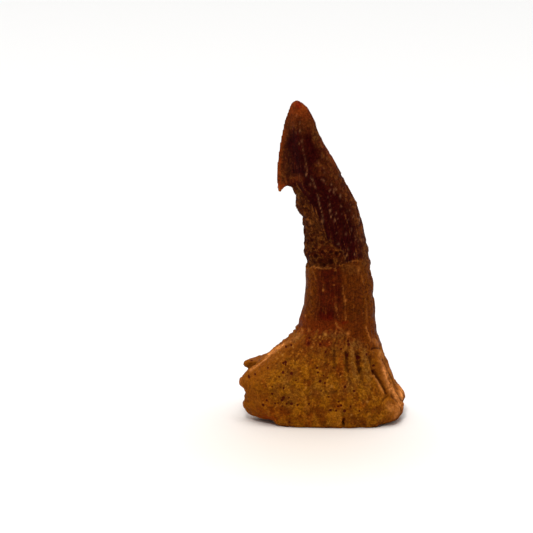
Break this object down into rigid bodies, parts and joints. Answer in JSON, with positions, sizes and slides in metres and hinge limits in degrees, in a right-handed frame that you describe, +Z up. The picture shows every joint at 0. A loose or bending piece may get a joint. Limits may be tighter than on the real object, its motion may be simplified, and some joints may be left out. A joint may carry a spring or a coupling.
{
  "type": "fossil sawfish rostral tooth",
  "caption": "Fossil sawfish rostral tooth: a flattened, hooked crown with a barb behind its tip, a plain neck and a flared, folded root grooved along its underside.",
  "frame": {"origin": "centre of the base on the plane that the tooth stands on", "axes": "+X towards the tooth's leading edge, +Y towards its back face, +Z up towards the tip of the crown; the barb points to -X"},
  "size_m": [0.0174, 0.0096, 0.0333],
  "materials": {
    "fossil_dentine": "satin, dark red-brown enamel over ochre-brown, pitted root"
  },
  "bodies": {
    "root": {"rostral_tooth": "fossil_dentine"}
  },
  "joints": []
}
